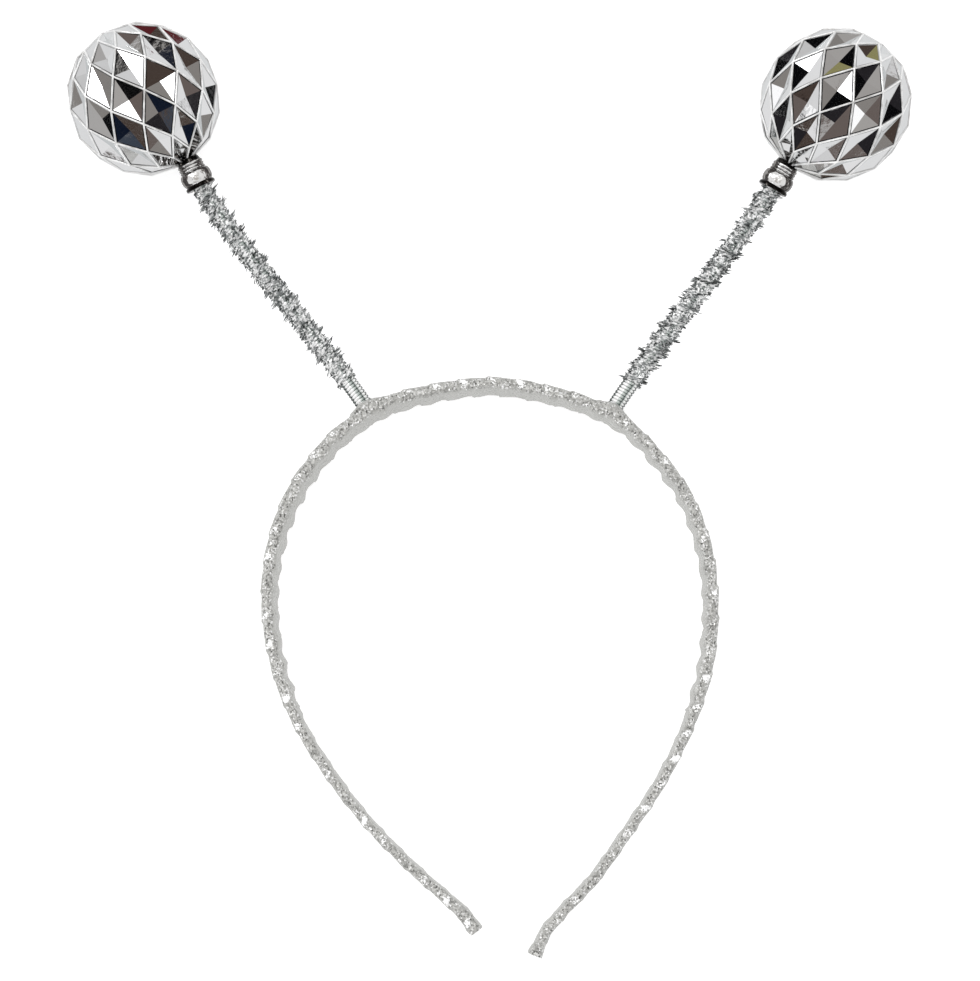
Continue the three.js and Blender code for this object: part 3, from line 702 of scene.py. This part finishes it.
def section_points(half_out, half_high, corner):
    """Points evenly round a box with round corners, each with its outward direction. They start low on the
    outer side and go up it, inward over the top, down the inner side and back under."""
    tall = 2 * (half_high - corner)
    wide = 2 * (half_out - corner)
    quarter = corner * math.pi / 2
    total = 2 * (tall + wide) + 4 * quarter
    points = []
    for k in range(SECTION_POINTS):
        left = total * k / SECTION_POINTS
        turn = 0
        centre = Vector((half_out - corner, -half_high + corner))
        for side, length in enumerate((tall, wide, tall, wide)):
            turn = side * math.pi / 2
            along = Vector((-math.sin(turn), math.cos(turn)))
            if left <= length:
                centre = centre + along * left
                left = 0
                break
            centre = centre + along * length
            left -= length
            if left <= quarter:
                turn += left / corner
                left = 0
                break
            left -= quarter
        normal = Vector((math.cos(turn), math.sin(turn)))
        points.append((centre + normal * corner, normal))
    return points


def into_turn(arc, share):
    """How far a place lies past the edge of its turn of ribbon. share is how far round the section the place
    is, because a turn climbs along the band as it goes round."""
    wander = SELVEDGE_WANDER * noise.noise(Vector((arc / SELVEDGE_WANDER_LENGTH, share * 3, 4.1)))
    return (arc - share * RIBBON_PITCH + wander) % RIBBON_PITCH


def turn_height(into):
    """Height of the wound ribbon: a step at each turn's edge, then a slow fall to the next."""
    step = min(into / SELVEDGE, 1)
    fall = 1 - into / RIBBON_PITCH
    hem = HEM_SHARE * math.exp(-((into - SELVEDGE) / HEM_WIDTH) ** 2)
    return TURN_RELIEF * step * (fall + hem)


def tooth_lobe(arc):
    """Height of the comb teeth that push the ribbon out on the band's inner side."""
    from_crown = abs(arc - band.crown)
    if from_crown > TOOTHED_REACH:
        return 0
    fade = min(max((from_crown - TOOTH_PITCH / 2) / (TOOTH_FADE_TEETH * TOOTH_PITCH), 0), 1)
    tooth = int(from_crown / TOOTH_PITCH)
    own = 1 + TOOTH_UNEVEN * noise.noise(Vector((tooth * 3.7, 9 if arc > band.crown else 2, 0)))
    wave = 0.5 - 0.5 * math.cos(2 * math.pi * from_crown / TOOTH_PITCH)
    return TOOTH_HEIGHT * own * (CROWN_TOOTH_SHARE + (1 - CROWN_TOOTH_SHARE) * fade) * wave


def foot_relief(arc, height):
    """Ribbon drawn up round a spring's foot, and the pit that the spring stands in."""
    along = abs(abs(arc - band.crown) - FOOT_REACH)
    swell = BINDING_RISE * math.cos(min(along / (BINDING_LENGTH / 2), 1) * math.pi / 2) ** 2
    away = math.hypot(along, height)
    if away < SPRING_RADIUS:
        return swell - SOCKET_DEPTH
    return swell + FILLET_RISE * math.exp(-(away - SPRING_RADIUS) / FILLET_REACH)


def wrinkle(arc, round_mm):
    """Small creases of the ribbon, longer round the band than along it."""
    return WRINKLE * sum(
        crease.share * noise.noise(Vector((arc / crease.along, round_mm / crease.round, crease.seed)))
        for crease in CREASES)


def band_ring(arc):
    """Points round the band's skin at a place, and how strongly the ribbon glints at each."""
    place = band.at(arc)
    half_out = place.thickness / 2
    half_high = place.depth / 2
    corner = min(SECTION_CORNER, half_out * 0.8)
    section = section_points(half_out, half_high, corner)
    cos_lean, sin_lean = math.cos(place.lean), math.sin(place.lean)
    lowest = min(point.y * cos_lean - point.x * sin_lean for point, _ in section)
    lobe = tooth_lobe(arc)
    clear_of_foot = min(abs(abs(arc - band.crown) - FOOT_REACH) / BINDING_LENGTH, 1)
    uneven = noise.noise(Vector((arc / RIBBON_PITCH, 2.2, 6.6)))
    glint = clear_of_foot * (GLINT_LEVEL + GLINT_UNEVEN * uneven)
    ring = []
    glints = []
    for k, (point, normal) in enumerate(section):
        share = k / SECTION_POINTS
        into = into_turn(arc, share)
        rise = turn_height(into) + wrinkle(arc, share * (place.depth + place.thickness) * 2)
        if normal.x > 0:
            rise += normal.x * foot_relief(arc, point.y)
        else:
            rise -= normal.x * lobe * (1 - 0.3 * (point.y / half_high) ** 2)
        out, high = point + normal * rise
        height = high * cos_lean - out * sin_lean - lowest + TURN_RELIEF
        ring.append(place.point + place.outward * (out * cos_lean + high * sin_lean) + UP * max(height, 0))
        from_edge = (point - Vector((half_out - FOLD_INSET, half_high))).length
        from_fold = (into - FOLD_PLACE) / FOLD_LENGTH
        glints.append(glint * math.exp(-from_fold ** 2 - (from_edge / FOLD_WIDTH) ** 2))
    return ring, glints


def build_headband(material):
    """The band's wound ribbon as one fine skin from tip to tip."""
    count = round(band.length / STATION_STEP)
    points = []
    glints = []
    for i in range(count + 1):
        ring, ring_glints = band_ring(band.length * i / count)
        points += ring
        glints += ring_glints
    piece = add_piece(
        "wound_ribbon", material, points, ring_faces(count + 1, SECTION_POINTS, closed_ends=True))
    piece.data.attributes.new("glint", "FLOAT", "POINT").data.foreach_set("value", glints)
    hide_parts("headband")


# Stalks

def heading(stalk, degrees):
    angle = math.radians(degrees) * stalk.sign
    return Vector((math.sin(angle), math.cos(angle), 0))


def lifted(level, degrees):
    """The same direction with its front raised."""
    lift = math.radians(degrees)
    return level * math.cos(lift) + UP * math.sin(lift)


class StalkPath:
    """Middle line of a spring from its socket's floor to its end in the cap, as the CAD has it."""

    STEPS = 240

    def __init__(self, stalk):
        at = band.at(band.crown + stalk.sign * FOOT_REACH)
        start = heading(stalk, stalk.foot_heading)
        chord = heading(stalk, stalk.splay)
        self.axis = lifted(heading(stalk, stalk.cap_heading), STALK_LIFT)
        to_ball = lifted(heading(stalk, stalk.ball_heading), STALK_LIFT)
        foot = at.point + at.outward * (at.thickness / 2 + TURN_RELIEF + BINDING_RISE)
        foot.z = BAND_DEPTH / 2 + TURN_RELIEF
        self.lip = foot + chord * stalk.reach
        self.lip.z = BALL_RADIUS - CAP_TO_BALL * to_ball.z
        self.ball = self.lip + to_ball * CAP_TO_BALL
        handles = (
            foot,
            foot + start * stalk.reach * FOOT_HANDLE,
            self.lip - self.axis * stalk.reach * CAP_HANDLE,
            self.lip,
        )
        self.points = [foot + start * (CLEARANCE - SOCKET_DEPTH)]
        for i in range(self.STEPS + 1):
            t = i / self.STEPS
            weights = ((1 - t) ** 3, 3 * t * (1 - t) ** 2, 3 * t * t * (1 - t), t ** 3)
            self.points.append(sum((h * w for h, w in zip(handles, weights)), Vector()))
        self.points.append(self.lip + self.axis * SPRING_INSERT)
        self.arcs = [0.0]
        for a, b in zip(self.points, self.points[1:]):
            self.arcs.append(self.arcs[-1] + (b - a).length)
        self.length = self.arcs[-1]

    def at(self, distance):
        """Middle, direction along, direction aside and direction above at a distance."""
        i = min(max(bisect.bisect_right(self.arcs, distance) - 1, 0), len(self.arcs) - 2)
        share = (distance - self.arcs[i]) / (self.arcs[i + 1] - self.arcs[i])
        along = (self.points[i + 1] - self.points[i]).normalized()
        aside = UP.cross(along).normalized()
        return self.points[i].lerp(self.points[i + 1], share), along, aside, along.cross(aside)


def build_spring(stalk, path, material):
    """Close wound wire as a true helix."""
    coil_radius = SPRING_RADIUS - WIRE_SIZE / 2
    count = int(path.length / WIRE_SIZE * COIL_STEPS)
    climb = WIRE_SIZE / (2 * math.pi * coil_radius)
    points = []
    leftward = []
    for i in range(count + 1):
        middle, along, aside, above = path.at(path.length * i / count)
        angle = 2 * math.pi * i / COIL_STEPS
        outward = aside * math.cos(angle) + above * math.sin(angle)
        round_wire = (above * math.cos(angle) - aside * math.sin(angle) + along * climb).normalized()
        across = round_wire.cross(outward)
        centre = middle + outward * coil_radius
        # How far left round the stalk each turn lies, which places the painted reflection stripes
        leftward += [0.5 + 0.5 * math.cos(angle)] * WIRE_SIDES
        for k in range(WIRE_SIDES):
            turn = 2 * math.pi * k / WIRE_SIDES
            points.append(centre + (outward * math.cos(turn) + across * math.sin(turn)) * WIRE_SIZE / 2)
    piece = add_piece(f"coiled_wire_{stalk.side}", material, points,
                      ring_faces(count + 1, WIRE_SIDES, closed_ends=True))
    piece.data.attributes.new("leftward", "FLOAT", "POINT").data.foreach_set("value", leftward)
    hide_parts(f"spring_{stalk.side}")


def sliver(path, kind, distance, rng, end):
    """Cross edges of one foil sliver, from its root on the spring to its curled tip."""
    middle, along, aside, above = path.at(distance)
    angle = rng.uniform(0, 2 * math.pi)
    outward = aside * math.cos(angle) + above * math.sin(angle)
    sideways = above * math.cos(angle) - aside * math.sin(angle)
    wander = TINSEL_CLUMP_WANDER * noise.noise(Vector((distance / TINSEL_CLUMP_SPAN, path.lip.x, 0)))
    clump = (0.5 + 0.5 * math.cos(2 * math.pi * distance / TINSEL_CLUMP - angle + wander)) ** 2
    stand = math.radians(rng.uniform(kind.lowest, kind.steepest))
    length = kind.length * rng.uniform(0.6, 1.2) * (SHORTEST_IN_CLUMP + (1 - SHORTEST_IN_CLUMP) * clump)
    level = outward * math.sin(stand) + sideways * rng.choice((-1, 1)) * math.cos(stand)
    lean = min(rng.gauss(TINSEL_SLANT * level.dot(aside), TINSEL_SLANT_SPREAD), (end - distance) / length)
    direction = (level + along * lean).normalized()
    width = kind.width * rng.uniform(0.7, 1.3)
    spread = direction.cross(outward + along * rng.uniform(-1, 1)).normalized()
    root = middle + outward * (SPRING_RADIUS + SLIVER_LIFT)
    points = []
    for edge in SLIVER_EDGES:
        centre = root + direction * length * edge.place - outward * length * edge.curl
        for side in (-1, 1):
            point = centre + spread * side * width * edge.width / 2
            point.z = max(point.z, LOWEST_SLIVER)
            points.append(point)
    return points


def build_tinsel(stalk, path, tall_film, flat_film):
    """Thousands of foil slivers round the spring: a flat layer over the wire, and tall ones in clumps."""
    rng = random.Random(stalk.side)
    start = SOCKET_DEPTH - CLEARANCE + EXPOSED_COIL
    end = path.length - SPRING_INSERT - CLEARANCE
    points = []
    faces = []
    films = []
    for film, kind in enumerate((TALL_SLIVERS, FLAT_SLIVERS)):
        for _ in range(int((end - start) * kind.per_mm)):
            first = len(points)
            points += sliver(path, kind, rng.uniform(start, end), rng, end)
            faces.append((first, first + 1, first + 3, first + 2))
            faces.append((first + 2, first + 3, first + 5, first + 4))
            films += [film, film]
    piece = add_piece(f"foil_slivers_{stalk.side}", tall_film, points, faces)
    piece.data.materials.append(flat_film)
    piece.data.polygons.foreach_set("material_index", films)
    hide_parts(f"tinsel_{stalk.side}")


def stand_along(axis, centre):
    """Places a piece whose own +Z runs along an axis and whose +X faces up."""
    side = axis.cross(UP).normalized()
    above = side.cross(axis)
    sideward = axis.cross(above)
    turn = Matrix((above, sideward, axis)).transposed().to_4x4()
    return Matrix.Translation(centre) @ turn


def cap_profile():
    """Radius and height of the cap from its mouth round the outside to inside the ball."""
    mouth = SPRING_RADIUS + CLEARANCE
    neck = LIP_LENGTH + BARREL_LENGTH
    profile = [(mouth, MOUTH_DEPTH), (mouth, 0.1), (mouth + MOUTH_FLARE, 0)]
    profile += [(LIP_RADIUS - inward, height) for inward, height in LIP_ROLL]
    profile += [(LIP_RADIUS - LIP_STEP, LIP_LENGTH + above) for above in (0.1, 0.25)]
    for i in range(BARREL_STEPS + 1):
        share = i / BARREL_STEPS
        bulge = math.sin(share * math.pi) ** 0.6
        height = LIP_LENGTH + BARREL_MARGIN + (BARREL_LENGTH - 2 * BARREL_MARGIN) * share
        profile.append((BARREL_RADIUS - BARREL_BULGE * (1 - bulge), height))
    for i in range(NECK_STEPS + 1):
        share = i / NECK_STEPS
        ring = NECK_RING * abs(math.sin(share * NECK_RINGS * math.pi)) ** 0.8
        height = neck - NECK_SINK + (NECK_LENGTH + NECK_SINK - NECK_TRIM) * share
        profile.append((NECK_RADIUS + ring, height))
    profile.append((NECK_RADIUS - CLEARANCE, neck + NECK_LENGTH + NECK_INSERT))
    return profile


def build_cap(stalk, path, plate, painted_shade_plate):
    """Turned cap: rolled lip, barrel and ringed neck, with painted shade on the lip and in the neck's
    grooves.
    """
    place = stand_along(path.axis, path.lip)
    profile = cap_profile()
    points = []
    for radius, height in profile:
        for k in range(CAP_SIDES):
            angle = 2 * math.pi * k / CAP_SIDES
            points.append(place @ Vector((radius * math.cos(angle), radius * math.sin(angle), height)))
    piece = add_piece(f"turned_cap_{stalk.side}", plate, points, ring_faces(len(profile), CAP_SIDES))
    piece.data.materials.append(painted_shade_plate)
    # Faces in the neck's grooves and at the lip get the plate with painted shade
    finishes = []
    for radius, height in profile[1:]:
        in_groove = radius < NECK_RADIUS + NECK_RING / 3
        finishes += [int(in_groove or height < LIP_LENGTH + LIP_SHADE_REACH)] * CAP_SIDES
    piece.data.polygons.foreach_set("material_index", finishes)
    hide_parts(f"cap_{stalk.side}")


# Ball

def lattice_corner(row, column):
    """Rows lie a row step apart, but for the first and last, which are the poles."""
    from_equator = row - DIAMOND_ROWS / 2
    at_pole = abs(from_equator) == DIAMOND_ROWS / 2
    latitude = math.copysign(math.pi / 2, from_equator) if at_pole else math.radians(from_equator * ROW_STEP)
    longitude = 2 * math.pi * (column + (row % 2) / 2) / DIAMONDS_ROUND
    out = math.cos(latitude)
    return BALL_RADIUS * Vector((out * math.cos(longitude), out * math.sin(longitude), math.sin(latitude)))


def inset(corners, distance):
    """A diamond's corners moved into it by the same distance from every edge."""
    moved = []
    for i, here in enumerate(corners):
        before = (corners[i - 1] - here).normalized()
        after = (corners[(i + 1) % 4] - here).normalized()
        slide = distance / math.sin(before.angle(after))
        moved.append(here + (before + after) * slide)
    return moved


def sunk(points, depth):
    return [point - point.normalized() * depth for point in points]


def diamond(row, column):
    """Points and faces of one diamond: half of each rib round it, and four facets that fall to its middle."""
    shift = row % 2
    corners = [lattice_corner(row - 1, column + shift), lattice_corner(row, column + 1),
               lattice_corner(row + 1, column + shift), lattice_corner(row, column)]
    middle = sum(corners, Vector()) / 4
    rings = [corners] + [sunk(inset(corners, out), fall) for out, fall in RIB_PROFILE]
    points = [point for ring in rings for point in ring] + sunk([middle], FACET_SINK + RIB_RISE)
    faces = []
    for r in range(len(rings) - 1):
        for i in range(4):
            after = (i + 1) % 4
            faces.append((4 * r + i, 4 * r + after, 4 * r + 4 + after, 4 * r + 4 + i))
    last = 4 * (len(rings) - 1)
    faces += [(last + i, last + (i + 1) % 4, last + 4) for i in range(4)]
    return points, faces


def build_ball(stalk, path, mirror, rib_crest, rib_side):
    """Hollow metallised ball, seen from outside only: ribs in a diamond lattice over sunk facets."""
    lattice = LATTICES[stalk.side]
    axis = lifted(heading(stalk, lattice.heading), lattice.lift)
    place = stand_along(axis, path.ball) @ Matrix.Rotation(math.radians(lattice.turn), 4, "Z")
    points = []
    faces = []
    for row in range(1, DIAMOND_ROWS):
        for column in range(DIAMONDS_ROUND):
            first = len(points)
            own_points, own_faces = diamond(row, column)
            points += [place @ point for point in own_points]
            faces += [tuple(first + i for i in face) for face in own_faces]
    piece = add_piece(f"faceted_ball_{stalk.side}", mirror, points, faces, smooth=False)
    piece.data.materials.append(rib_crest)
    piece.data.materials.append(rib_side)
    # Rib crests get the painted highlight, the corner strip beside each rib the painted shadow line, and the
    # facets the mirror
    crest_faces = 4 * (len(RIB_PROFILE) - 1)
    in_diamond = [1] * crest_faces + [2] * 4 + [0] * 4
    piece.data.polygons.foreach_set("material_index", in_diamond * (len(faces) // len(in_diamond)))
    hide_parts(f"ball_{stalk.side}")


# Studio

def add_floor(material):
    """A wide sheet. Mirrors see the studio's own pale floor in its place, and the things that stand on it."""
    mesh = bpy.data.meshes.new("acrylic_floor")
    corners = [(-FLOOR_HALF, -FLOOR_HALF, 0), (FLOOR_HALF, -FLOOR_HALF, 0),
               (FLOOR_HALF, FLOOR_HALF, 0), (-FLOOR_HALF, FLOOR_HALF, 0)]
    mesh.from_pydata([Vector(corner) * MM for corner in corners], [], [(0, 1, 2, 3)])
    mesh.materials.append(material)
    floor = bpy.data.objects.new("acrylic_floor", mesh)
    bpy.context.scene.collection.objects.link(floor)
    floor.visible_glossy = False


def direction(bearing, elevation):
    """Direction at degrees anticlockwise from +X, seen from above, and degrees above the floor."""
    around, rise = math.radians(bearing), math.radians(elevation)
    return Vector((math.cos(around) * math.cos(rise), math.sin(around) * math.cos(rise), math.sin(rise)))


def studio_world():
    """Plain soft light for the floor and the cloth. Mirrors see the studio round it instead: a grey ceiling
    with a large window, pale walls, and dark furniture and screens between them."""
    world = bpy.data.worlds.new("studio")
    bpy.context.scene.world = world
    world.use_nodes = True
    tree = world.node_tree
    tree.nodes.clear()
    towards = add_node(tree, "ShaderNodeTexCoord").outputs["Generated"]
    uneven = add_node(tree, "ShaderNodeTexNoise", inputs={
        "Vector": towards, "Scale": STUDIO_UNEVEN_SCALE, "Detail": 3.0})
    bent = add_node(tree, "ShaderNodeVectorMath", {"operation": "MULTIPLY_ADD"}, {
        0: uneven.outputs["Color"], 1: [STUDIO_UNEVEN] * 3, 2: towards})
    centred = add_node(tree, "ShaderNodeVectorMath", {"operation": "SUBTRACT"}, {
        0: bent.outputs[0], 1: [STUDIO_UNEVEN / 2] * 3})
    ragged = add_node(tree, "ShaderNodeVectorMath", {"operation": "NORMALIZE"}, {0: centred.outputs[0]})
    height = add_node(tree, "ShaderNodeSeparateXYZ", inputs={0: towards})
    room = add_node(tree, "ShaderNodeValToRGB", {}, {0: height.outputs[2]}, stops=(
        (0.0, "#F2F2F2"), (0.12, "#DCDCDC"), (0.3, "#AAA7A4"), (0.8, "#A8A5A2"), (1.0, "#B4B1AE"))).outputs[0]
    for thing in STUDIO_THINGS:
        facing = add_node(tree, "ShaderNodeVectorMath", {"operation": "DOT_PRODUCT"}, {
            0: ragged.outputs[0], 1: direction(thing.bearing, thing.elevation)})
        inside = add_node(tree, "ShaderNodeMath", {"operation": "GREATER_THAN", "label": thing.name}, {
            0: facing.outputs["Value"], 1: math.cos(math.radians(thing.radius))})
        tone = TONES[thing.tone]
        colour = [channel * tone.light for channel in linear(tone.colour)[:3]] + [1.0]
        room = add_node(tree, "ShaderNodeMix", {"data_type": "RGBA"}, {
            0: inside.outputs[0], 6: room, 7: colour}).outputs[2]
    rays = add_node(tree, "ShaderNodeLightPath")
    seen = add_node(tree, "ShaderNodeMix", {"data_type": "RGBA"}, {
        0: rays.outputs["Is Glossy Ray"], 6: linear("#FCFCFC"), 7: room})
    light = add_node(tree, "ShaderNodeBackground", inputs={"Color": seen.outputs[2], "Strength": 1.0})
    add_node(tree, "ShaderNodeOutputWorld", inputs={"Surface": light.outputs[0]})


def add_softbox(name, bearing, elevation, distance, size, power, in_mirrors=False):
    """A square soft light that faces the middle of the object. Degrees, metres and watts. Unless it is to
    show in mirrors, they see the studio in its place."""
    light = bpy.data.lights.new(name, "AREA")
    light.size = size
    light.energy = power
    lamp = bpy.data.objects.new(name, light)
    bpy.context.scene.collection.objects.link(lamp)
    lamp.visible_glossy = in_mirrors
    outward = direction(bearing, elevation)
    lamp.location = outward * distance
    lamp.rotation_euler = (-outward).to_track_quat("-Z", "Y").to_euler()


bpy.context.scene.view_settings.view_transform = "Standard"
add_camera()
studio_world()
add_softbox("window_light", 152, 48, 1.2, 0.6, 1.6)
add_softbox("window_pane", 158, 52, 1.2, 0.22, 1.2, in_mirrors=True)
add_softbox("skylight_light", 60, 82, 1.3, 0.4, 1.2)
add_floor(lit_acrylic())

build_headband(lame_ribbon())
wire = spring_wire()
# Foil with painted reflection tones: tall slivers mostly dark, and the flat layer painted bright
films = slit_foil(), flat_foil()
# The cap's plate with painted reflection bands, and the same plate with painted shade for the lip and the
# neck's grooves
cap_finishes = drawn_chrome(), plate_painted_shade()
# The ball's mirror with painted rim shade, the rib crests with a painted highlight, and the rib corners with
# a painted shadow line
ball_finishes = metallised_plastic(), crest_painted_highlight(), rib_painted_shadow()
for one in STALKS:
    one_path = StalkPath(one)
    build_spring(one, one_path, wire)
    build_tinsel(one, one_path, *films)
    build_cap(one, one_path, *cap_finishes)
    build_ball(one, one_path, *ball_finishes)
